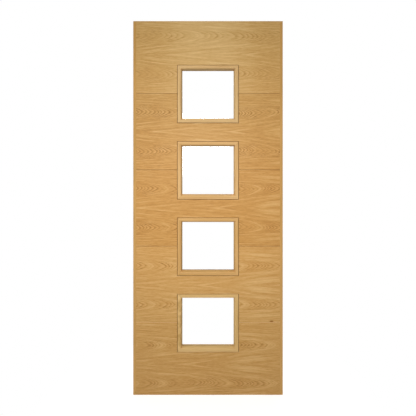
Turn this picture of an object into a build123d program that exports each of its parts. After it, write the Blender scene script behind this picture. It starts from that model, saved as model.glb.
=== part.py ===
"""Glazed interior door leaf in oak, built up as a joiner builds it.

A laminated core of two stiles and five rails leaves four apertures one above the other. Each face
carries five veneered panels that meet in shallow V-grooves near the middle of each window. Solid oak
lippings close the two long edges. A pane of clear glass sits in each aperture between two frames of
mitred beads, which stand a little proud of the face behind a narrow shadow gap.

Millimetres. +X runs from the hinge edge across the leaf, +Y through it from front to back, +Z up.
The origin is at the foot of the hinge edge, in the middle of the leaf's thickness.
"""

import os

from build123d import *

# Leaf
LEAF_WIDTH = 813.0
LEAF_HEIGHT = 2032.0
LEAF_THICKNESS = 35.0
LIPPING_WIDTH = 15.5
PANEL_THICKNESS = 4.0

# Windows, one above the other, named from the top down, each a little below the groove at its sides
WINDOW_NAMES = ("top", "upper", "lower", "bottom")
WINDOW_PITCH = 415.0
WINDOW_DROP = 3.0
APERTURE_WIDTH = 331.0
APERTURE_HEIGHT = 312.0
GLASS_THICKNESS = 4.0
GLASS_EDGE_CLEARANCE = 3.0

# Shadow gap between a bead and the panels round it
SHADOW_GAP = 2.5

# V-groove between two panels, as the chamfer on the edge of each
GROOVE_CHAMFER = 2.0

# Bead section: a flat face, then a splay down to a low nib against the glass
BEAD_FACE_WIDTH = 17.5
BEAD_SPLAY_WIDTH = 7.0
BEAD_NIB_HEIGHT = 3.0
BEAD_PROUD = 2.5
BEAD_OUTER_ROUND = 2.0
BEAD_INNER_ROUND = 3.0

# Panels and rails, named from the top down
PANEL_NAMES = ("top", "upper", "middle", "lower", "bottom")
RAIL_NAMES = ("top_rail", "upper_rail", "middle_rail", "lower_rail", "bottom_rail")

# Sizes and places that follow from those above
core_thickness = LEAF_THICKNESS - 2 * PANEL_THICKNESS
leaf_middle = LEAF_WIDTH / 2
top_groove_height = LEAF_HEIGHT / 2 + WINDOW_PITCH * (len(WINDOW_NAMES) - 1) / 2
groove_heights = [top_groove_height - WINDOW_PITCH * i for i in range(len(WINDOW_NAMES))]
window_heights = [z - WINDOW_DROP for z in groove_heights]
panel_levels = [LEAF_HEIGHT, *groove_heights, 0.0]
panel_width = LEAF_WIDTH - 2 * LIPPING_WIDTH
stile_width = (panel_width - APERTURE_WIDTH) / 2
bead_height = (LEAF_THICKNESS - GLASS_THICKNESS) / 2 + BEAD_PROUD
bead_width = BEAD_FACE_WIDTH + BEAD_SPLAY_WIDTH


def side_plane(side, depth):
    """The upright plane that faces outwards on one side of the leaf, depth from its middle."""
    if side == "front":
        return Plane(origin=(leaf_middle, -depth, 0), x_dir=(1, 0, 0), z_dir=(0, -1, 0))
    return Plane(origin=(leaf_middle, depth, 0), x_dir=(-1, 0, 0), z_dir=(0, 1, 0))


def upright_board(middle_x, width, low_z, high_z, thickness):
    """A plain board, centred on the leaf's thickness."""
    with BuildPart() as board:
        with BuildSketch(Plane.XY.offset(low_z)):
            with Locations((middle_x, 0)):
                Rectangle(width, thickness)
        extrude(amount=high_z - low_z)
    return board.part


def veneered_panel(side, low_z, high_z):
    """A facing panel between two levels, cut out round the windows that it reaches."""
    with BuildPart() as panel:
        with BuildSketch(side_plane(side, core_thickness / 2)):
            with Locations((0, (low_z + high_z) / 2)):
                Rectangle(panel_width, high_z - low_z)
            with Locations(*[(0, z) for z in window_heights]):
                Rectangle(
                    APERTURE_WIDTH + 2 * SHADOW_GAP,
                    APERTURE_HEIGHT + 2 * SHADOW_GAP,
                    mode=Mode.SUBTRACT,
                )
        extrude(amount=PANEL_THICKNESS)
        outer_face = panel.faces().sort_by(Axis.Y)[0 if side == "front" else -1]
        level_edges = outer_face.edges().filter_by(Axis.X).group_by(Axis.Z)
        if low_z in groove_heights:
            chamfer(level_edges[0], GROOVE_CHAMFER)
        if high_z in groove_heights:
            chamfer(level_edges[-1], GROOVE_CHAMFER)
    return panel.part


def glass_pane(middle_z):
    """A clear pane, short of its aperture by the edge clearance all round."""
    with BuildPart() as pane:
        with BuildSketch(side_plane("front", -GLASS_THICKNESS / 2)):
            with Locations((0, middle_z)):
                Rectangle(
                    APERTURE_WIDTH - 2 * GLASS_EDGE_CLEARANCE,
                    APERTURE_HEIGHT - 2 * GLASS_EDGE_CLEARANCE,
                )
        extrude(amount=GLASS_THICKNESS)
    return pane.part


def bead_strip(outer_middle, inward, outward, length):
    """One strip of bead with mitred ends. outer_middle is the middle of its foot, where it meets the
    aperture and the glass; inward points to the middle of the pane and outward away from the glass."""
    section_plane = Plane(origin=outer_middle, x_dir=inward, z_dir=inward.cross(outward))
    with BuildPart() as strip:
        with BuildSketch(section_plane) as section:
            with BuildLine():
                Polyline(
                    (0, 0),
                    (bead_width, 0),
                    (bead_width, BEAD_NIB_HEIGHT),
                    (BEAD_FACE_WIDTH, bead_height),
                    (0, bead_height),
                    close=True,
                )
            make_face()
            fillet(section.vertices().group_by(Axis.Y)[-1].sort_by(Axis.X)[0], BEAD_OUTER_ROUND)
            fillet(section.vertices().group_by(Axis.Y)[-1].sort_by(Axis.X)[-1], BEAD_INNER_ROUND)
        extrude(amount=length / 2, both=True)
        for along in (section_plane.z_dir, -section_plane.z_dir):
            corner = outer_middle + along * (length / 2)
            split(bisect_by=Plane(origin=corner, z_dir=along + inward), keep=Keep.BOTTOM)
    return strip.part


def bead_pair(side, middle_z, across):
    """The two beads of one frame that face each other across the pane, along the unit vector across."""
    plane = side_plane(side, GLASS_THICKNESS / 2)
    level = abs(across.X) < abs(across.Z)
    reach = (APERTURE_HEIGHT if level else APERTURE_WIDTH) / 2
    length = APERTURE_WIDTH if level else APERTURE_HEIGHT
    middle = plane.origin + Vector(0, 0, middle_z)
    strips = [bead_strip(middle - inward * reach, inward, plane.z_dir, length) for inward in (across, -across)]
    return Compound(children=strips)


def export(piece, name):
    piece.label = name
    export_step(piece, f"parts/{name}.step")


def export_lippings_and_core():
    for name, edge_x in (("left", LIPPING_WIDTH / 2), ("right", LEAF_WIDTH - LIPPING_WIDTH / 2)):
        export(upright_board(edge_x, LIPPING_WIDTH, 0, LEAF_HEIGHT, LEAF_THICKNESS), f"{name}_lipping")
    stile_offset = (APERTURE_WIDTH + stile_width) / 2
    for name, stile_x in (("left", leaf_middle - stile_offset), ("right", leaf_middle + stile_offset)):
        export(upright_board(stile_x, stile_width, 0, LEAF_HEIGHT, core_thickness), f"{name}_stile")
    rail_tops = [LEAF_HEIGHT, *[z - APERTURE_HEIGHT / 2 for z in window_heights]]
    rail_feet = [*[z + APERTURE_HEIGHT / 2 for z in window_heights], 0.0]
    for name, foot, top in zip(RAIL_NAMES, rail_feet, rail_tops):
        export(upright_board(leaf_middle, APERTURE_WIDTH, foot, top, core_thickness), name)


def export_panels():
    for side in ("front", "back"):
        for name, high_z, low_z in zip(PANEL_NAMES, panel_levels, panel_levels[1:]):
            export(veneered_panel(side, low_z, high_z), f"{side}_{name}_panel")


def export_windows():
    for name, middle_z in zip(WINDOW_NAMES, window_heights):
        export(glass_pane(middle_z), f"{name}_glass")
        for side in ("front", "back"):
            export(bead_pair(side, middle_z, Vector(1, 0, 0)), f"{name}_{side}_side_beads")
            export(bead_pair(side, middle_z, Vector(0, 0, 1)), f"{name}_{side}_level_beads")


os.makedirs("parts", exist_ok=True)
export_lippings_and_core()
export_panels()
export_windows()
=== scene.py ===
"""Dresses a glazed oak door leaf: book-matched crown-cut veneer, solid oak lippings, mitred oak beads,
clear panes and a laminated core, on a white studio floor.

Metres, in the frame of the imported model: +X from the hinge edge, +Y from front to back, +Z up.
"""

import math

import bpy
from mathutils import Matrix, Vector


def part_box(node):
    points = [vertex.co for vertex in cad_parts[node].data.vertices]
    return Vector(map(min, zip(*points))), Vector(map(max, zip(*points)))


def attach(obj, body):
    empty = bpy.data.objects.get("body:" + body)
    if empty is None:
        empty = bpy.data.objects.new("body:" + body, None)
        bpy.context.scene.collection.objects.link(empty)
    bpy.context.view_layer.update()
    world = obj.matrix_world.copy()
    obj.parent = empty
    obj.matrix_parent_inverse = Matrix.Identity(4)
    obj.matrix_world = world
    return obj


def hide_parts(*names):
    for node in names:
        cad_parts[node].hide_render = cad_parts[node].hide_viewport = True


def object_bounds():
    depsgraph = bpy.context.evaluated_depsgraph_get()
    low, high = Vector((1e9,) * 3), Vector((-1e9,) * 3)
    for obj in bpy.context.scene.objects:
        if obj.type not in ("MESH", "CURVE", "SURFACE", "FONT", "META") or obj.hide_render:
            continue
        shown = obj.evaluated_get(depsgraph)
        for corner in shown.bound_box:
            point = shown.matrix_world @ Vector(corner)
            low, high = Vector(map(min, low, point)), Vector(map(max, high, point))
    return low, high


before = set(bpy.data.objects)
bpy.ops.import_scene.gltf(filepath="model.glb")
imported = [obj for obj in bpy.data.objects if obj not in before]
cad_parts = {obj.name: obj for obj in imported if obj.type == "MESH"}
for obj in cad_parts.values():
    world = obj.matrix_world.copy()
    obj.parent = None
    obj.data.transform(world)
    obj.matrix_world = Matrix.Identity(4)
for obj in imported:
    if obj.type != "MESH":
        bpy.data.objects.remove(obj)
cad_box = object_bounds()
LEAF_WIDTH = cad_box[1].x
LEAF_HEIGHT = cad_box[1].z

MM = 0.001
BODY = "root"
SIDES = ("front", "back")
WINDOWS = ("top", "upper", "lower", "bottom")
PANELS = ("top", "upper", "middle", "lower", "bottom")

# Bead section: a flat face, then a splay down to a low nib against the glass
BEAD_FACE_WIDTH = 17.5 * MM
BEAD_WIDTH = 24.5 * MM
BEAD_NIB_HEIGHT = 3.0 * MM
BEAD_OUTER_ROUND = 2.0 * MM
BEAD_INNER_ROUND = 3.0 * MM
BEAD_ROUND_STEPS = 6
MITRE_ARRIS = 0.25 * MM

# Sanded arris along the lippings
LIPPING_ARRIS = 0.4 * MM

# Edges sharper than the first angle get an arris, and those sharper than the second look sharp
ARRIS_ANGLE = math.radians(40)
SHARP_ANGLE = math.radians(25)

# Veneer of each panel: how far the joint between its two leaves lies above its middle, the growth
# between two years, how strongly the rings show at the left and right edge of the leaf, how much paler
# than the common tone it is in the middle of the leaf and out at both edges, which is partly the panel's
# own tone and partly painted light, a pool that is palest in the middle of the top panels, and the tone
# of the board's edge as the grooves and shadow gaps show it, set per panel to paint their light and shade
PANEL_VENEERS = {
    "top": {
        "joint_offset": 13 * MM,
        "ring_spacing": 1.9,
        "figure": (0.35, 0.45),
        "lift": (0.3, 0.1),
        "board_with_painted_groove_light": "#BC925A",
    },
    "upper": {
        "joint_offset": 0.0,
        "ring_spacing": 1.3,
        "figure": (0.85, 0.85),
        "lift": (0.12, 0.03),
        "board_with_painted_groove_light": "#B48A50",
    },
    "middle": {
        "joint_offset": 0.0,
        "ring_spacing": 1.3,
        "figure": (0.95, 0.4),
        "lift": (0.06, 0.06),
        "board_with_painted_groove_light": "#A67C46",
    },
    "lower": {
        "joint_offset": -5 * MM,
        "ring_spacing": 1.4,
        "figure": (0.75, 0.3),
        "lift": (0.2, 0.17),
        "board_with_painted_groove_light": "#B0864E",
    },
    "bottom": {
        "joint_offset": -30 * MM,
        "ring_spacing": 1.4,
        "figure": (0.4, 0.4),
        "lift": (0.13, 0.13),
        # A pale board that paints a highlight on the lit chamfer of the lowest groove
        "board_with_painted_groove_light": "#F0CA8E",
    },
}

# Share of the warm honey tone in the veneer, against the paler straw tone, at the head of the leaf, at
# each groove and at the foot
WARMTH_AT_LEVELS = (0.0, 0.45, 0.95, 0.95, 0.6, 0.6)

# Light and dark tone of the lippings, and of the beads of each window
LIPPING_TONES = ("#E0B06C", "#BA8E4E")
BEAD_TONES = {
    "top": ("#ECCA92", "#C89C62"),
    "upper": ("#F0C88E", "#CA9A5C"),
    "lower": ("#EABE82", "#C49450"),
    "bottom": ("#F2CC8E", "#CAA262"),
}

# How much darker the lippings are at the head of the leaf than halfway down
LIPPING_HEAD_FADE = 0.3

# Beads that were cut on the quarter, and how far along the leaf they lie, in millimetres
FLECKED_BEADS = {("bottom", "side"): LEAF_WIDTH / MM / 2}

# Picture: the camera looks level and straight at the leaf, and the frame is centred on the leaf
EYE_HEIGHT = 1.29
EYE_DISTANCE = 1.5
LEAF_SHARE_OF_PICTURE = 0.8985

# Colour sockets of a Mix node
MIX_A = 6
MIX_B = 7
MIX_RESULT = 2


def linear(hex_colour):
    """An sRGB hex colour as the linear RGBA that a shader takes."""
    channels = [int(hex_colour[i : i + 2], 16) / 255 for i in (1, 3, 5)]
    return [c / 12.92 if c <= 0.04045 else ((c + 0.055) / 1.055) ** 2.4 for c in channels] + [1.0]


def add(tree, kind, inputs=None, **settings):
    """Adds a node. An input takes a value, another node for its first output, or an output socket."""
    node = tree.nodes.new(kind)
    for name, value in settings.items():
        setattr(node, name, value)
    for key, value in (inputs or {}).items():
        if isinstance(value, bpy.types.Node):
            value = value.outputs[0]
        if isinstance(value, bpy.types.NodeSocket):
            tree.links.new(value, node.inputs[key])
        else:
            node.inputs[key].default_value = value
    return node


def new_material(name):
    """An empty material and its node tree."""
    material = bpy.data.materials.new(name)
    material.use_nodes = True
    material.node_tree.nodes.clear()
    return material, material.node_tree


def set_ramp(ramp, stops):
    """Gives a colour ramp its stops, as (place, hex colour)."""
    elements = ramp.color_ramp.elements
    while len(elements) < len(stops):
        elements.new(1.0)
    for element, (place, colour) in zip(elements, stops):
        element.position = place
        element.color = linear(colour)


# Veneer, in millimetres as the nodes work in them
VENEER_THICKNESS = 0.6
SLICE_LAG = 35.0
CROWN_FROM_JOINT = 104.0
CROWN_HALF_WIDTH = 32.0
CROWN_WANDER = 24.0
CHEVRON_TIP = 3.0

# Growth passed for each millimetre along the tapering log, and across the grain in the crown, at the
# joint and at the grooves
LOG_TAPER = 0.06
CROWN_SLOPE = 0.07
JOINT_SLOPE = 0.5
GROOVE_SLOPE = 1.0

# Growth across one colour band, and how far the rings waver
BAND_SPACING = 11.0
RING_WARP = 1.0

# Tone of the veneer, from 0 at its darkest to 1 at its palest: what all of it has, and the shares of the
# bands, of pale streaks in them, of fine lines, of the rings and of open pores in and between the rings
COMMON_TONE = 0.32
BAND_TONE = 0.36
STREAK_TONE = 0.16
LINE_TONE = 0.38
RING_TONE = 0.5
RING_PORE_TONE = -0.55
PORE_TONE = -0.14
KNOT_TONE = -0.9

# Pin knots in the veneer: how far along the leaf, how high, and their size along and across the grain
PIN_KNOTS = {
    "front_upper_panel": (793.0, 1321.0, 3.6, 3.2),
    "front_lower_panel": (752.0, 400.0, 10.0, 4.0),
}
NO_KNOT = (0.0, -1000.0, 1.0, 1.0)


def crown_cut_oak_veneer(
    name, levels, leaf_face, first_slice, warmth, knot, joint_offset, ring_spacing, figure, lift, board_with_painted_groove_light
):
    """Oak veneer, sliced through the crown of the log, laid on fibreboard in two book-matched leaves with
    the grain level, sanded and lacquered satin. The eye gets rows of small chevrons where the slice
    crosses the rings, long wedges where the leaves meet and fine level lines out at the grooves."""
    material, tree = new_material(name)
    place = add(tree, "ShaderNodeTexCoord").outputs["Object"]
    place = add(tree, "ShaderNodeMapping", {"Vector": place, "Scale": (1 / MM, 1 / MM, 1 / MM)})
    axes = add(tree, "ShaderNodeSeparateXYZ", {0: place}).outputs
    along = add(tree, "ShaderNodeMath", {0: axes["X"], 1: first_slice * SLICE_LAG}, operation="ADD")
    low_z, high_z = levels
    joint_height = (low_z + high_z) / 2 + joint_offset
    height = add(tree, "ShaderNodeMath", {0: axes["Z"], 1: joint_height / MM}, operation="SUBTRACT")

    # The upper leaf mirrors the lower one, and was sliced next to it from the log
    from_joint = add(tree, "ShaderNodeMath", {0: height}, operation="ABSOLUTE")
    upper_leaf = add(tree, "ShaderNodeMath", {0: height, 1: 0.0}, operation="GREATER_THAN")
    depth = add(
        tree,
        "ShaderNodeMath",
        {0: upper_leaf, 1: VENEER_THICKNESS, 2: first_slice * VENEER_THICKNESS},
        operation="MULTIPLY_ADD",
    )
    log_point = add(tree, "ShaderNodeCombineXYZ", {0: along, 1: from_joint, 2: depth})

    # Distance from the wandering line of the crown
    wander_place = add(
        tree, "ShaderNodeMapping", {"Vector": log_point, "Scale": (1 / 400, 1 / 900, 1 / 40)}
    )
    wander = add(tree, "ShaderNodeTexNoise", {"Vector": wander_place, "Scale": 1.0, "Detail": 1.0})
    crown = add(
        tree,
        "ShaderNodeMath",
        {0: wander, 1: CROWN_WANDER, 2: -CROWN_FROM_JOINT - CROWN_WANDER / 2},
        operation="MULTIPLY_ADD",
    )
    from_crown = add(tree, "ShaderNodeMath", {0: from_joint, 1: crown}, operation="ADD")
    off_crown = add(tree, "ShaderNodeMath", {0: from_crown}, operation="ABSOLUTE")

    # Growth, which is constant along a ring: it rises along the tapering log and away from the crown,
    # slowly at first, which bends the rings into chevrons, then faster
    tip = add(tree, "ShaderNodeCombineXYZ", {0: off_crown, 1: CHEVRON_TIP})
    tip = add(tree, "ShaderNodeVectorMath", {0: tip}, operation="LENGTH").outputs["Value"]
    growth = add(tree, "ShaderNodeMath", {0: tip, 1: CROWN_SLOPE, 2: depth}, operation="MULTIPLY_ADD")
    growth = add(tree, "ShaderNodeMath", {0: along, 1: LOG_TAPER, 2: growth}, operation="MULTIPLY_ADD")
    flank = add(tree, "ShaderNodeMath", {0: off_crown, 1: CROWN_HALF_WIDTH}, operation="SUBTRACT")
    flank = add(tree, "ShaderNodeMath", {0: flank, 1: 0.0, 2: CROWN_HALF_WIDTH}, operation="SMOOTH_MAX")
    flank_slope = add(
        tree,
        "ShaderNodeMapRange",
        {0: from_crown, 1: -CROWN_HALF_WIDTH, 2: CROWN_HALF_WIDTH, 3: JOINT_SLOPE, 4: GROOVE_SLOPE},
    )
    growth = add(tree, "ShaderNodeMath", {0: flank, 1: flank_slope, 2: growth}, operation="MULTIPLY_ADD")
    warp_place = add(tree, "ShaderNodeMapping", {"Vector": log_point, "Scale": (1 / 45, 1 / 14, 1 / 30)})
    warp = add(tree, "ShaderNodeTexNoise", {"Vector": warp_place, "Scale": 1.0, "Detail": 3.0})
    growth = add(tree, "ShaderNodeMath", {0: warp, 1: RING_WARP, 2: growth}, operation="MULTIPLY_ADD")

    # Years of uneven width, each dark and porous where it starts, paler later and dark again at its end
    ring_point = add(tree, "ShaderNodeCombineXYZ", {0: growth, 1: along})
    width_place = add(
        tree, "ShaderNodeMapping", {"Vector": ring_point, "Scale": (1 / (6 * ring_spacing), 1 / 500, 1)}
    )
    widths = add(
        tree,
        "ShaderNodeTexNoise",
        {"Vector": width_place, "Scale": 1.0, "Detail": 1.0},
        noise_dimensions="2D",
    )
    year = add(tree, "ShaderNodeMath", {0: growth, 1: ring_spacing}, operation="DIVIDE")
    year = add(tree, "ShaderNodeMath", {0: widths, 1: 3.6, 2: year}, operation="MULTIPLY_ADD")
    season = add(tree, "ShaderNodeMath", {0: year}, operation="FRACT")
    ending = add(tree, "ShaderNodeMath", {0: season, 1: -4.0, 2: 4.0}, operation="MULTIPLY_ADD")
    paleness = add(tree, "ShaderNodeMath", {0: season, 1: ending}, operation="MINIMUM")

    # Bands follow the growth too, with a few pale streaks, over short fine lines along the grain
    band_place = add(
        tree, "ShaderNodeMapping", {"Vector": ring_point, "Scale": (2 / BAND_SPACING, 1 / 260, 1)}
    )
    bands = add(
        tree,
        "ShaderNodeTexNoise",
        {"Vector": band_place, "Scale": 1.0, "Detail": 2.0},
        noise_dimensions="2D",
    )
    streaks = add(tree, "ShaderNodeMapRange", {0: bands, 1: 0.56, 2: 0.74, 3: 0.0, 4: STREAK_TONE})
    off_middle = add(tree, "ShaderNodeMath", {0: axes["X"], 1: LEAF_WIDTH / MM / 2}, operation="SUBTRACT")
    off_middle = add(tree, "ShaderNodeMath", {0: off_middle}, operation="ABSOLUTE")
    # The common tone is partly the panel's own and partly painted light, a pool paler in the middle of
    # the leaf than at its edges
    middle_tone_and_painted_light, edge_tone_and_painted_light = lift
    tone_with_painted_pool = add(
        tree,
        "ShaderNodeMapRange",
        {0: off_middle, 1: 80.0, 2: 340.0, 3: COMMON_TONE + middle_tone_and_painted_light, 4: COMMON_TONE + edge_tone_and_painted_light},
        interpolation_type="SMOOTHSTEP",
    )
    tone = add(tree, "ShaderNodeMath", {0: bands, 1: BAND_TONE, 2: tone_with_painted_pool}, operation="MULTIPLY_ADD")
    tone = add(tree, "ShaderNodeMath", {0: tone, 1: streaks}, operation="ADD")
    line_place = add(tree, "ShaderNodeMapping", {"Vector": log_point, "Scale": (1 / 55, 1 / 5, 1)})
    lines = add(tree, "ShaderNodeTexNoise", {"Vector": line_place, "Scale": 1.0, "Detail": 2.0})
    lines = add(tree, "ShaderNodeMath", {0: lines, 1: 0.5}, operation="SUBTRACT")
    tone = add(tree, "ShaderNodeMath", {0: lines, 1: LINE_TONE, 2: tone}, operation="MULTIPLY_ADD")

    # Rings stand out in patches along the crown and fade away from it
    patch_place = add(tree, "ShaderNodeMapping", {"Vector": log_point, "Scale": (1 / 110, 1 / 60, 1 / 6)})
    patches = add(tree, "ShaderNodeTexNoise", {"Vector": patch_place, "Scale": 1.0, "Detail": 1.0})
    patch_gain = add(tree, "ShaderNodeMapRange", {0: patches, 1: 0.38, 2: 0.62, 3: 0.3, 4: 1.35})
    left_figure, right_figure = figure
    crown_strength = add(
        tree,
        "ShaderNodeMapRange",
        {0: axes["X"], 1: 0.0, 2: LEAF_WIDTH / MM, 3: left_figure, 4: right_figure},
    )
    crown_gain = add(
        tree,
        "ShaderNodeMapRange",
        {0: off_crown, 1: 14.0, 2: 50.0, 3: crown_strength, 4: 0.15},
        interpolation_type="SMOOTHSTEP",
    )
    ring_gain = add(tree, "ShaderNodeMath", {0: patch_gain, 1: crown_gain}, operation="MULTIPLY")
    ring_tone = add(
        tree, "ShaderNodeMath", {0: paleness, 1: RING_TONE, 2: -0.3 * RING_TONE}, operation="MULTIPLY_ADD"
    )
    tone = add(tree, "ShaderNodeMath", {0: ring_tone, 1: ring_gain, 2: tone}, operation="MULTIPLY_ADD")

    # Pores crowd the start of each year; drawn 1.2 mm by 20 mm, four times as coarse as real ones, so
    # that they show
    pore_place = add(tree, "ShaderNodeMapping", {"Vector": log_point, "Scale": (1 / 20, 1 / 1.2, 1)})
    pores = add(tree, "ShaderNodeTexNoise", {"Vector": pore_place, "Scale": 1.0, "Detail": 2.0})
    pore_depth = add(tree, "ShaderNodeMapRange", {0: season, 1: 0.1, 2: 0.55, 3: RING_PORE_TONE, 4: 0.0})
    pore_depth = add(
        tree, "ShaderNodeMath", {0: pore_depth, 1: ring_gain, 2: PORE_TONE}, operation="MULTIPLY_ADD"
    )
    open_pores = add(tree, "ShaderNodeMapRange", {0: pores, 1: 0.44, 2: 0.62, 3: 0.0, 4: 1.0})
    tone = add(tree, "ShaderNodeMath", {0: open_pores, 1: pore_depth, 2: tone}, operation="MULTIPLY_ADD")

    # A pin knot is a small dark oval
    knot_x, knot_z, knot_length, knot_height = knot
    knot_place = add(
        tree,
        "ShaderNodeMapping",
        {
            "Vector": place,
            "Location": (-knot_x / knot_length, 0, -knot_z / knot_height),
            "Scale": (1 / knot_length, 0, 1 / knot_height),
        },
    )
    from_knot = add(tree, "ShaderNodeVectorMath", {0: knot_place}, operation="LENGTH").outputs["Value"]
    knot_tone = add(tree, "ShaderNodeMapRange", {0: from_knot, 1: 0.4, 2: 1.3, 3: KNOT_TONE, 4: 0.0})
    tone = add(tree, "ShaderNodeMath", {0: tone, 1: knot_tone}, operation="ADD", use_clamp=True)

    # The tone is read as straw or as honey, by height
    straw = add(tree, "ShaderNodeValToRGB", {0: tone})
    set_ramp(straw, ((0.0, "#8E632C"), (0.5, "#C69C5A"), (1.0, "#E2C084")))
    honey = add(tree, "ShaderNodeValToRGB", {0: tone})
    set_ramp(honey, ((0.0, "#965E28"), (0.5, "#CF9953"), (1.0, "#E8BC7C")))
    low_warmth, high_warmth = warmth
    warm = add(
        tree,
        "ShaderNodeMapRange",
        {0: axes["Z"], 1: low_z / MM, 2: high_z / MM, 3: low_warmth, 4: high_warmth},
    )
    colour = add(
        tree, "ShaderNodeMix", {0: warm, MIX_A: straw, MIX_B: honey}, data_type="RGBA"
    ).outputs[MIX_RESULT]

    # Fibreboard shows below the veneer, in the grooves and on the panel's edges; its tone, set per panel,
    # paints the
    # light and shade of the grooves: darker boards paint shade, the pale bottom board a highlight on the
    # lit chamfer of the lowest groove
    from_core = add(tree, "ShaderNodeMath", {0: axes["Y"]}, operation="ABSOLUTE")
    fibreboard = add(
        tree,
        "ShaderNodeMath",
        {0: from_core, 1: leaf_face / MM - VENEER_THICKNESS},
        operation="LESS_THAN",
    )
    colour = add(
        tree, "ShaderNodeMix", {0: fibreboard, MIX_A: colour, MIX_B: linear(board_with_painted_groove_light)}, data_type="RGBA"
    ).outputs[MIX_RESULT]
    roughness = add(tree, "ShaderNodeMapRange", {0: tone, 1: 0.0, 2: 1.0, 3: 0.52, 4: 0.4})
    roughness = add(
        tree, "ShaderNodeMath", {0: fibreboard, 1: 0.4, 2: roughness}, operation="MULTIPLY_ADD"
    )
    bump = add(tree, "ShaderNodeBump", {"Strength": 0.15, "Distance": 0.2 * MM, "Height": tone})
    shader = add(
        tree,
        "ShaderNodeBsdfPrincipled",
        {"Base Color": colour, "Roughness": roughness, "Specular IOR Level": 0.2, "Normal": bump},
    )
    add(tree, "ShaderNodeOutputMaterial", {"Surface": shader})
    return material


# Noises in solid oak: size across the grain and along it in millimetres, and detail. The pores are drawn
# about three times as coarse as real ones, so that they show
OAK_RINGS = (3.0, 220.0, 2.0)
OAK_PORES = (1.0, 22.0, 2.0)
OAK_BOARDS = (45.0, 320.0, 1.0)
OAK_RAYS = (14.0, 17.0, 0.0)


def solid_oak(name, grain, light, dark, flecked_to=0.0, head_fade=0.0):
    """Solid oak, cut along the grain and sanded under satin lacquer. The eye gets straight stripes of
    growth rings a few millimetres apart, broken by short dark pores. A strip that was cut on the quarter
    also shows pale flecks where the rays come to the face. grain is x or z; flecked_to is how far along
    the leaf the strips with flecks lie, in millimetres; head_fade is how much darker a long strip is at
    the head of the leaf than halfway down, as a share of the step from dark to light."""
    material, tree = new_material(name)
    place = add(tree, "ShaderNodeTexCoord").outputs["Object"]
    place = add(tree, "ShaderNodeMapping", {"Vector": place, "Scale": (1 / MM, 1 / MM, 1 / MM)})
    textures = []
    for across, along, detail in (OAK_RINGS, OAK_PORES, OAK_BOARDS, OAK_RAYS):
        size = [across, across, across]
        size["xyz".index(grain)] = along
        stretched = add(
            tree, "ShaderNodeMapping", {"Vector": place, "Scale": [1 / length for length in size]}
        )
        textures.append(
            add(tree, "ShaderNodeTexNoise", {"Vector": stretched, "Scale": 1.0, "Detail": detail})
        )
    rings, pores, boards, rays = textures
    tone = add(tree, "ShaderNodeMath", {0: rings, 1: 1.2, 2: -0.35}, operation="MULTIPLY_ADD")
    tone = add(tree, "ShaderNodeMath", {0: boards, 1: 0.5, 2: tone}, operation="MULTIPLY_ADD")
    axes = add(tree, "ShaderNodeSeparateXYZ", {0: place}).outputs
    fade = add(
        tree,
        "ShaderNodeMapRange",
        {0: axes["Z"], 1: 0.0, 2: LEAF_HEIGHT / MM, 3: head_fade, 4: -head_fade},
    )
    tone = add(tree, "ShaderNodeMath", {0: tone, 1: fade}, operation="ADD")
    flecked = add(tree, "ShaderNodeMath", {0: axes["X"], 1: flecked_to}, operation="LESS_THAN")
    flecks = add(tree, "ShaderNodeMapRange", {0: rays, 1: 0.3, 2: 0.7, 3: -0.3, 4: 0.35})
    tone = add(tree, "ShaderNodeMath", {0: flecks, 1: flecked, 2: tone}, operation="MULTIPLY_ADD")
    pore_tone = add(tree, "ShaderNodeMapRange", {0: pores, 1: 0.5, 2: 0.75, 3: 0.0, 4: -0.3})
    tone = add(tree, "ShaderNodeMath", {0: tone, 1: pore_tone}, operation="ADD", use_clamp=True)
    colour = add(
        tree, "ShaderNodeMix", {0: tone, MIX_A: linear(dark), MIX_B: linear(light)}, data_type="RGBA"
    ).outputs[MIX_RESULT]
    roughness = add(tree, "ShaderNodeMapRange", {0: tone, 1: 0.0, 2: 1.0, 3: 0.6, 4: 0.5})
    bump = add(tree, "ShaderNodeBump", {"Strength": 0.15, "Distance": 0.2 * MM, "Height": tone})
    shader = add(
        tree,
        "ShaderNodeBsdfPrincipled",
        {"Base Color": colour, "Roughness": roughness, "Specular IOR Level": 0.06, "Normal": bump},
    )
    add(tree, "ShaderNodeOutputMaterial", {"Surface": shader})
    return material


# Core, in millimetres as the nodes work in them
LAMELLA_WIDTH = 32.0
PITH_REACH_ACROSS = 60
PITH_REACH_THROUGH = 80
CORE_RING_SPACING = 3.2
GLUE_LINE = 0.5
# Depth of the dark brown sheet of painted shade on the wide faces
PAINTED_SHADE_FILM = 0.1


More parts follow.
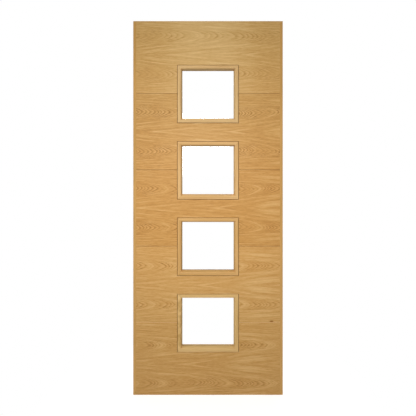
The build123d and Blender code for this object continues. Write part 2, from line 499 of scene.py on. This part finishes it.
def laminated_softwood(name, grain, core_face):
    """Softwood core, glued up from lamellas and planed. Its end shows at the head and foot of the leaf,
    as pale blocks with arcs of growth rings between thin glue lines. The wide faces, which show only deep
    in the shadow gaps round the beads, are painted dark brown there as shade. grain is x on a rail or z
    on a stile."""
    material, tree = new_material(name)
    place = add(tree, "ShaderNodeTexCoord").outputs["Object"]
    place = add(tree, "ShaderNodeMapping", {"Vector": place, "Scale": (1 / MM, 1 / MM, 1 / MM)})
    axes = add(tree, "ShaderNodeSeparateXYZ", {0: place}).outputs
    along, across = (axes["X"], axes["Z"]) if grain == "x" else (axes["Z"], axes["X"])

    # Each lamella was cut from its own place in its own log
    lamella = add(tree, "ShaderNodeMath", {0: across, 1: LAMELLA_WIDTH}, operation="DIVIDE")
    number = add(tree, "ShaderNodeMath", {0: lamella}, operation="FLOOR")
    within = add(tree, "ShaderNodeMath", {0: lamella}, operation="FRACT")
    chance = add(tree, "ShaderNodeTexWhiteNoise", {"W": number}, noise_dimensions="1D")
    pith_spread = (2 * PITH_REACH_ACROSS, 2 * PITH_REACH_THROUGH, 1)
    pith = add(tree, "ShaderNodeMapping", {"Vector": chance.outputs["Color"], "Scale": pith_spread})
    from_pith = add(tree, "ShaderNodeCombineXYZ", {0: within, 1: axes["Y"]})
    from_pith = add(
        tree, "ShaderNodeVectorMath", {0: from_pith, 1: (LAMELLA_WIDTH, 1, 1)}, operation="MULTIPLY"
    )
    from_pith = add(tree, "ShaderNodeVectorMath", {0: from_pith, 1: pith}, operation="ADD")
    pith_reach = (PITH_REACH_ACROSS, PITH_REACH_THROUGH, 0)
    from_pith = add(tree, "ShaderNodeVectorMath", {0: from_pith, 1: pith_reach}, operation="SUBTRACT")
    radius = add(tree, "ShaderNodeVectorMath", {0: from_pith}, operation="LENGTH").outputs["Value"]
    wander_point = add(tree, "ShaderNodeCombineXYZ", {0: across, 1: axes["Y"], 2: along})
    wander_place = add(
        tree, "ShaderNodeMapping", {"Vector": wander_point, "Scale": (1 / 30, 1 / 30, 1 / 200)}
    )
    wander = add(tree, "ShaderNodeTexNoise", {"Vector": wander_place, "Scale": 1.0, "Detail": 2.0})
    radius = add(tree, "ShaderNodeMath", {0: wander, 1: 6.0, 2: radius}, operation="MULTIPLY_ADD")
    year = add(tree, "ShaderNodeMath", {0: radius, 1: CORE_RING_SPACING}, operation="DIVIDE")
    season = add(tree, "ShaderNodeMath", {0: year}, operation="FRACT")
    ramp = add(tree, "ShaderNodeValToRGB", {0: season})
    set_ramp(ramp, ((0.0, "#E3C898"), (0.6, "#D9B880"), (0.9, "#B78A54"), (1.0, "#D2AE76")))

    # Thin glue lines between lamellas, and painted shade: a dark brown sheet on the wide faces, which
    # show deep in the shadow gaps
    to_joint = add(tree, "ShaderNodeMath", {0: within, 1: 0.5}, operation="SUBTRACT")
    to_joint = add(tree, "ShaderNodeMath", {0: to_joint}, operation="ABSOLUTE")
    glue_line = add(
        tree,
        "ShaderNodeMath",
        {0: to_joint, 1: 0.5 - GLUE_LINE / (2 * LAMELLA_WIDTH)},
        operation="GREATER_THAN",
    )
    off_middle = add(tree, "ShaderNodeMath", {0: axes["Y"]}, operation="ABSOLUTE")
    painted_shade_film = add(
        tree, "ShaderNodeMath", {0: off_middle, 1: core_face / MM - PAINTED_SHADE_FILM}, operation="GREATER_THAN"
    )
    glue_lines_and_painted_shade = add(tree, "ShaderNodeMath", {0: glue_line, 1: painted_shade_film}, operation="MAXIMUM")
    colour = add(
        tree, "ShaderNodeMix", {0: glue_lines_and_painted_shade, MIX_A: ramp, MIX_B: linear("#7A4A1A")}, data_type="RGBA"
    ).outputs[MIX_RESULT]
    roughness = add(tree, "ShaderNodeMapRange", {0: season, 1: 0.0, 2: 1.0, 3: 0.8, 4: 0.65})
    bump = add(tree, "ShaderNodeBump", {"Strength": 0.2, "Distance": 0.2 * MM, "Height": season})
    shader = add(
        tree,
        "ShaderNodeBsdfPrincipled",
        {"Base Color": colour, "Roughness": roughness, "Specular IOR Level": 0.2, "Normal": bump},
    )
    add(tree, "ShaderNodeOutputMaterial", {"Surface": shader})
    return material


# Distance between the waves in the glass, in metres
GLASS_WAVE = 0.25


def clear_float_glass():
    """Toughened float glass: clear, with the faint roller wave that heat treatment leaves in it."""
    material, tree = new_material("clear_float_glass")
    place = add(tree, "ShaderNodeTexCoord").outputs["Object"]
    wave = add(tree, "ShaderNodeTexNoise", {"Vector": place, "Scale": 1 / GLASS_WAVE, "Detail": 0.0})
    bump = add(tree, "ShaderNodeBump", {"Strength": 0.02, "Distance": 0.05 * MM, "Height": wave})
    shader = add(
        tree,
        "ShaderNodeBsdfPrincipled",
        {
            "Base Color": linear("#FFFFFF"),
            "Roughness": 0.0,
            "IOR": 1.52,
            "Transmission Weight": 1.0,
            "Normal": bump,
        },
    )
    add(tree, "ShaderNodeOutputMaterial", {"Surface": shader})
    return material


def bead_pair_tree():
    """Geometry nodes for the two strips of bead that face each other across a pane. A strip runs along Z
    with its section in X, inwards from the aperture, and Y, away from the glass, and its ends are
    mitred. The second strip is the first turned half round."""
    tree = bpy.data.node_groups.new("mitred_bead_pair", "GeometryNodeTree")
    sizes = (
        "Reach",
        "Length",
        "Face width",
        "Bead width",
        "Nib height",
        "Bead height",
        "Outer round",
        "Inner round",
    )
    for name in sizes:
        tree.interface.new_socket(name, in_out="INPUT", socket_type="NodeSocketFloat")
    tree.interface.new_socket("Material", in_out="INPUT", socket_type="NodeSocketMaterial")
    tree.interface.new_socket("Geometry", in_out="OUTPUT", socket_type="NodeSocketGeometry")
    given = add(tree, "NodeGroupInput").outputs
    index = add(tree, "GeometryNodeInputIndex")

    # Five corners of the section, counter-clockwise from the foot, and the round on each
    corners = (
        (0.0, 0.0, 0.0),
        (given["Bead width"], 0.0, 0.0),
        (given["Bead width"], given["Nib height"], 0.0),
        (given["Face width"], given["Bead height"], given["Inner round"]),
        (0.0, given["Bead height"], given["Outer round"]),
    )
    corner = add(tree, "GeometryNodeIndexSwitch", {"Index": index}, data_type="VECTOR")
    rounding = add(tree, "GeometryNodeIndexSwitch", {"Index": index}, data_type="FLOAT")
    for switch in (corner, rounding):
        while len(switch.index_switch_items) < len(corners):
            switch.index_switch_items.new()
    for number, (inward, outward, radius) in enumerate(corners):
        point = add(tree, "ShaderNodeCombineXYZ", {0: inward, 1: outward})
        tree.links.new(point.outputs[0], corner.inputs[str(number)])
        if isinstance(radius, bpy.types.NodeSocket):
            tree.links.new(radius, rounding.inputs[str(number)])
    outline = add(tree, "GeometryNodeCurvePrimitiveCircle", {"Resolution": len(corners)}, mode="RADIUS")
    outline = add(tree, "GeometryNodeSetPosition", {"Geometry": outline, "Position": corner})
    outline = add(
        tree,
        "GeometryNodeFilletCurve",
        {"Curve": outline, "Count": BEAD_ROUND_STEPS, "Radius": rounding, "Limit Radius": True},
        mode="POLY",
    )

    # Sweep from -1 to 1, then stretch each line of the strip to its mitred length
    path = add(tree, "GeometryNodeCurvePrimitiveLine", {"Start": (0, 0, -1), "End": (0, 0, 1)})
    strip = add(
        tree, "GeometryNodeCurveToMesh", {"Curve": path, "Profile Curve": outline, "Fill Caps": True}
    )
    position = add(tree, "GeometryNodeInputPosition")
    position = add(tree, "ShaderNodeSeparateXYZ", {0: position}).outputs
    half = add(tree, "ShaderNodeMath", {0: given["Length"], 1: 2.0}, operation="DIVIDE")
    half = add(tree, "ShaderNodeMath", {0: half, 1: position["X"]}, operation="SUBTRACT")
    end = add(tree, "ShaderNodeMath", {0: half, 1: position["Z"]}, operation="MULTIPLY")
    across = add(tree, "ShaderNodeMath", {0: position["X"], 1: given["Reach"]}, operation="SUBTRACT")
    mitred = add(tree, "ShaderNodeCombineXYZ", {0: across, 1: position["Y"], 2: end})
    strip = add(tree, "GeometryNodeSetPosition", {"Geometry": strip, "Position": mitred})

    # One strip on each of two points, turned half round from one to the next
    points = add(tree, "GeometryNodeMeshLine", {"Count": 2, "Offset": (0, 0, 0)})
    turn = add(tree, "ShaderNodeMath", {0: index, 1: math.pi}, operation="MULTIPLY")
    rotation = add(tree, "ShaderNodeCombineXYZ", {1: turn})
    pair = add(
        tree, "GeometryNodeInstanceOnPoints", {"Points": points, "Instance": strip, "Rotation": rotation}
    )
    pair = add(tree, "GeometryNodeRealizeInstances", {"Geometry": pair})
    pair = add(tree, "GeometryNodeSetMaterial", {"Geometry": pair, "Material": given["Material"]})
    add(tree, "NodeGroupOutput", {"Geometry": pair})
    return tree


def baked(obj, name, matrix):
    """Turns an object and its modifiers into a plain mesh piece at the origin, with smooth rounds."""
    depsgraph = bpy.context.evaluated_depsgraph_get()
    mesh = bpy.data.meshes.new_from_object(obj.evaluated_get(depsgraph))
    bpy.data.objects.remove(obj)
    mesh.transform(matrix)
    mesh.shade_smooth()
    mesh.set_sharp_from_angle(angle=SHARP_ANGLE)
    piece = bpy.data.objects.new(name, mesh)
    bpy.context.scene.collection.objects.link(piece)
    return piece


def finish_piece(piece, node):
    """Lets a piece stand for a CAD node."""
    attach(piece, BODY)
    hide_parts(node)


def add_beads(tree, window, side, direction, material):
    """Two facing strips of bead, in place of the CAD pair."""
    node = f"{window}_{side}_{direction}_beads"
    low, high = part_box(node)
    across = Vector((1, 0, 0)) if direction == "side" else Vector((0, 0, 1))
    outward = Vector((0, -1, 0)) if side == "front" else Vector((0, 1, 0))
    along = across.cross(outward)
    size = high - low
    values = {
        "Reach": abs(size.dot(across)) / 2,
        "Length": abs(size.dot(along)),
        "Face width": BEAD_FACE_WIDTH,
        "Bead width": BEAD_WIDTH,
        "Nib height": BEAD_NIB_HEIGHT,
        "Bead height": size.y,
        "Outer round": BEAD_OUTER_ROUND,
        "Inner round": BEAD_INNER_ROUND,
        "Material": material,
    }
    holder = bpy.data.objects.new(node, bpy.data.meshes.new(node))
    bpy.context.scene.collection.objects.link(holder)
    modifier = holder.modifiers.new("beads", "NODES")
    modifier.node_group = tree
    for socket in tree.interface.items_tree:
        if socket.in_out == "INPUT":
            modifier[socket.identifier] = values[socket.name]
    bevel = holder.modifiers.new("arris", "BEVEL")
    bevel.width = MITRE_ARRIS
    bevel.limit_method = "ANGLE"
    bevel.angle_limit = ARRIS_ANGLE
    matrix = Matrix((across, outward, along)).transposed().to_4x4()
    glass_face = high.y if side == "front" else low.y
    matrix.translation = Vector(((low.x + high.x) / 2, glass_face, (low.z + high.z) / 2))
    piece = baked(holder, f"{window}_{side}_{direction}_bead_strips", matrix)
    finish_piece(piece, node)


def add_lipping(edge, material):
    """A lipping with its arrises sanded off, in place of the CAD strip."""
    node = f"{edge}_lipping"
    low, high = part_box(node)
    mesh = bpy.data.meshes.new(node)
    corners = [(x, y, z) for x in (low.x, high.x) for y in (low.y, high.y) for z in (low.z, high.z)]
    faces = ((0, 1, 3, 2), (4, 6, 7, 5), (0, 4, 5, 1), (2, 3, 7, 6), (0, 2, 6, 4), (1, 5, 7, 3))
    mesh.from_pydata(corners, [], faces)
    mesh.materials.append(material)
    holder = bpy.data.objects.new(node, mesh)
    bpy.context.scene.collection.objects.link(holder)
    bevel = holder.modifiers.new("arris", "BEVEL")
    bevel.width = LIPPING_ARRIS
    bevel.segments = 3
    piece = baked(holder, f"{edge}_lipping_strip", Matrix.Identity(4))
    finish_piece(piece, node)


def dress(node, material):
    """Gives a CAD node its finish."""
    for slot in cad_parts[node].material_slots:
        slot.material = material


def add_softbox(name, place, target, size, spread, power):
    """A square studio lamp at place, turned to target. spread is the angle it shines into, in degrees."""
    lamp = bpy.data.lights.new(name, "AREA")
    lamp.shape = "SQUARE"
    lamp.size = size
    lamp.energy = power
    lamp.spread = math.radians(spread)
    holder = bpy.data.objects.new(name, lamp)
    bpy.context.scene.collection.objects.link(holder)
    holder.visible_camera = False
    holder.visible_transmission = False
    holder.location = place
    holder.rotation_euler = (Vector(target) - Vector(place)).to_track_quat("-Z", "Y").to_euler()


# Studio: strength of the plain light all round, what the floor gains towards white where it is seen, how
# far from the leaf its shadow fades out, and half the width of the floor
AMBIENT = 0.42
FLOOR_LIFT = 0.6
SHADOW_REACH = 0.5
FLOOR_HALF_WIDTH = 8.0


def seen_directly(tree):
    """1 on the rays that see the backdrop: from the camera, in a reflection or through glass, unless a
    matt surface scattered them on the way."""
    rays = add(tree, "ShaderNodeLightPath").outputs
    seen = rays["Is Camera Ray"]
    for ray in ("Is Glossy Ray", "Is Transmission Ray"):
        seen = add(tree, "ShaderNodeMath", {0: seen, 1: rays[ray]}, operation="MAXIMUM")
    straight = add(tree, "ShaderNodeMath", {0: rays["Diffuse Depth"], 1: 0.5}, operation="LESS_THAN")
    return add(tree, "ShaderNodeMath", {0: seen, 1: straight}, operation="MULTIPLY")


def white_world():
    """White where it is seen, and a plain soft light otherwise."""
    world = bpy.data.worlds.new("studio")
    world.use_nodes = True
    tree = world.node_tree
    tree.nodes.clear()
    backdrop = add(tree, "ShaderNodeBackground", {"Color": linear("#FFFFFF"), "Strength": 1.0})
    ambient = add(tree, "ShaderNodeBackground", {"Color": linear("#FFFFFF"), "Strength": AMBIENT})
    mix = add(tree, "ShaderNodeMixShader", {0: seen_directly(tree), 1: ambient, 2: backdrop})
    add(tree, "ShaderNodeOutputWorld", {"Surface": mix})
    bpy.context.scene.world = world


def studio_floor():
    """A white floor that keeps the shadow round the foot and fades into the white backdrop."""
    material, tree = new_material("studio_floor")
    seen = seen_directly(tree)
    paint = add(tree, "ShaderNodeBsdfDiffuse", {"Color": linear("#DCDCDC")})
    lift_strength = add(tree, "ShaderNodeMath", {0: seen, 1: FLOOR_LIFT}, operation="MULTIPLY")
    lift = add(tree, "ShaderNodeEmission", {"Strength": lift_strength})
    lifted = add(tree, "ShaderNodeAddShader", {0: paint, 1: lift})
    place = add(tree, "ShaderNodeTexCoord").outputs["Object"]
    foot = add(tree, "ShaderNodeMapping", {"Vector": place, "Location": (-LEAF_WIDTH / 2, 0, 0)})
    foot_axes = add(tree, "ShaderNodeSeparateXYZ", {0: foot}).outputs
    past_edge = add(tree, "ShaderNodeMath", {0: foot_axes["X"]}, operation="ABSOLUTE")
    past_edge = add(tree, "ShaderNodeMath", {0: past_edge, 1: LEAF_WIDTH / 2}, operation="SUBTRACT")
    past_edge = add(tree, "ShaderNodeMath", {0: past_edge, 1: 0.0}, operation="MAXIMUM")
    offset = add(tree, "ShaderNodeCombineXYZ", {0: past_edge, 1: foot_axes["Y"]})
    distance = add(tree, "ShaderNodeVectorMath", {0: offset}, operation="LENGTH").outputs["Value"]
    fade = add(
        tree,
        "ShaderNodeMapRange",
        {0: distance, 1: 0.0, 2: SHADOW_REACH, 3: 0.0, 4: 1.0},
        interpolation_type="SMOOTHSTEP",
    )
    white_share = add(tree, "ShaderNodeMath", {0: fade, 1: seen}, operation="MULTIPLY")
    white = add(tree, "ShaderNodeEmission", {"Strength": 1.0})
    mix = add(tree, "ShaderNodeMixShader", {0: white_share, 1: lifted, 2: white})
    add(tree, "ShaderNodeOutputMaterial", {"Surface": mix})
    mesh = bpy.data.meshes.new("floor")
    half = FLOOR_HALF_WIDTH
    corners = [(-half, -half, 0), (half, -half, 0), (half, half, 0), (-half, half, 0)]
    mesh.from_pydata(corners, [], [(0, 1, 2, 3)])
    mesh.materials.append(material)
    floor = bpy.data.objects.new("floor", mesh)
    bpy.context.scene.collection.objects.link(floor)


def photo_camera():
    """A camera straight in front of the leaf at eye height, shifted down to centre the leaf."""
    low, high = cad_box
    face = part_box("front_middle_panel")[0].y
    picture_size = (high.z - low.z) / LEAF_SHARE_OF_PICTURE
    data = bpy.data.cameras.new("camera")
    data.sensor_width = 36.0
    data.lens = data.sensor_width * EYE_DISTANCE / picture_size
    data.shift_y = ((low.z + high.z) / 2 - EYE_HEIGHT) / picture_size
    camera = bpy.data.objects.new("camera", data)
    camera.location = ((low.x + high.x) / 2, face - EYE_DISTANCE, EYE_HEIGHT)
    camera.rotation_euler = (math.radians(90), 0, 0)
    bpy.context.scene.collection.objects.link(camera)
    bpy.context.scene.camera = camera


# Facings
for number, panel in enumerate(PANELS):
    for side in SIDES:
        node = f"{side}_{panel}_panel"
        low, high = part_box(node)
        leaf_face = max(abs(low.y), abs(high.y))
        veneer = crown_cut_oak_veneer(
            f"{node}_oak_veneer",
            (low.z, high.z),
            leaf_face,
            2 * number,
            (WARMTH_AT_LEVELS[number + 1], WARMTH_AT_LEVELS[number]),
            PIN_KNOTS.get(node, NO_KNOT),
            **PANEL_VENEERS[panel],
        )
        dress(node, veneer)

# Edges, core and panes
lipping_oak = solid_oak("oak_lipping", "z", *LIPPING_TONES, head_fade=LIPPING_HEAD_FADE)
for edge in ("left", "right"):
    add_lipping(edge, lipping_oak)
core_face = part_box("left_stile")[1].y
stile_core = laminated_softwood("laminated_stile_core", "z", core_face)
for node in ("left_stile", "right_stile"):
    dress(node, stile_core)
rail_core = laminated_softwood("laminated_rail_core", "x", core_face)
for rail in PANELS:
    dress(f"{rail}_rail", rail_core)
glass = clear_float_glass()
for window in WINDOWS:
    dress(f"{window}_glass", glass)

# Beads
bead_tree = bead_pair_tree()
for window in WINDOWS:
    for direction, grain in (("side", "z"), ("level", "x")):
        flecked_to = FLECKED_BEADS.get((window, direction), 0.0)
        bead_oak = solid_oak(f"{window}_{direction}_bead_oak", grain, *BEAD_TONES[window], flecked_to)
        for side in SIDES:
            add_beads(bead_tree, window, side, direction, bead_oak)

# Studio
white_world()
studio_floor()
leaf_middle = (cad_box[0] + cad_box[1]) / 2
middle_x = leaf_middle.x
above_middle = leaf_middle + Vector((0, 0, 0.1))
left_of_middle = leaf_middle + Vector((-0.05, 0, 0.1))
add_softbox("front", (middle_x - 0.15, -2.9, 1.5), left_of_middle, size=1.0, spread=54, power=3.3)
add_softbox("left_key", (middle_x - 3.4, -2.9, 2.3), above_middle, size=0.6, spread=72, power=6.9)
add_softbox("right_key", (middle_x + 3.4, -2.9, 2.3), above_middle, size=0.9, spread=72, power=1.9)
add_softbox("overhead", (middle_x, -0.7, 4.6), leaf_middle, size=1.6, spread=72, power=5.0)
add_softbox("back_fill", (middle_x, 3.0, 2.0), leaf_middle, size=1.6, spread=72, power=10.5)
photo_camera()
bpy.context.scene.view_settings.view_transform = "Standard"
